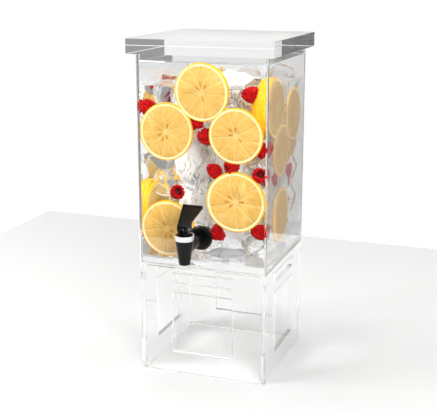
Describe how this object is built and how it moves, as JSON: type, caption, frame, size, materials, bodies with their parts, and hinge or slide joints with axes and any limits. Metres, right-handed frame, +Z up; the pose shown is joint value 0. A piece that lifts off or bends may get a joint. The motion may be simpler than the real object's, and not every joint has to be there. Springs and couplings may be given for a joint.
{
  "type": "beverage dispenser",
  "caption": "Square clear acrylic drinks dispenser: a tank with a lift-off lid and a self-closing lever tap, stood on an open base with windows.",
  "frame": {"origin": "on the surface it stands on, under the middle of the whole object's bounding box, tap included", "axes": "+Z up, -Y out of the front, where the tap is, and +X to the right of someone who stands facing the tap"},
  "size_m": [0.2, 0.2628, 0.4594],
  "materials": {
    "clear_acrylic": "clear cast sheet with polished edges",
    "black_plastic": "glossy moulded",
    "chrome_plate": "bright plated",
    "silicone": "matt, milky",
    "stainless_steel": "turned"
  },
  "bodies": {
    "base": {"base_front_panel": "clear_acrylic", "base_back_panel": "clear_acrylic", "base_right_panel": "clear_acrylic", "base_left_panel": "clear_acrylic"},
    "tank": {"tank_front_panel": "clear_acrylic", "tank_back_panel": "clear_acrylic", "tank_right_panel": "clear_acrylic", "tank_left_panel": "clear_acrylic", "tank_floor": "clear_acrylic", "tank_locating_plate": "clear_acrylic", "tap_body": "black_plastic", "tap_outer_washer": "silicone", "tap_inner_washer": "silicone", "tap_lock_nut": "black_plastic", "tap_ring": "chrome_plate", "tap_bonnet": "black_plastic"},
    "lid": {"lid_slab": "clear_acrylic", "lid_insert": "clear_acrylic"},
    "valve": {"valve_stem": "stainless_steel", "valve_plug": "silicone", "valve_spring": "stainless_steel", "lever_pin": "stainless_steel"},
    "lever": {"tap_lever": "black_plastic"}
  },
  "joints": [
    {"name": "tank_lift", "type": "slide", "parent": "base", "child": "tank", "axis": [0, 0, 1], "range_m": [0, 0.05]},
    {"name": "lid_lift", "type": "slide", "parent": "tank", "child": "lid", "axis": [0, 0, 1], "range_m": [0, 0.12]},
    {"name": "valve_lift", "type": "slide", "parent": "tank", "child": "valve", "axis": [0, 0, 1], "range_m": [0, 0.0027], "deforming": ["valve_spring"]},
    {"name": "lever_tilt", "type": "hinge", "parent": "valve", "child": "lever", "pos_m": [0, -0.11864, 0.2277], "axis": [1, 0, 0], "range_deg": [0, 50], "stiffness_Nm_per_rad": 0.1, "springref_deg": -34.38}
  ],
  "couplings": [
    {"joint": "valve_lift", "follows": "lever_tilt", "m_per_rad": 0.00298}
  ]
}
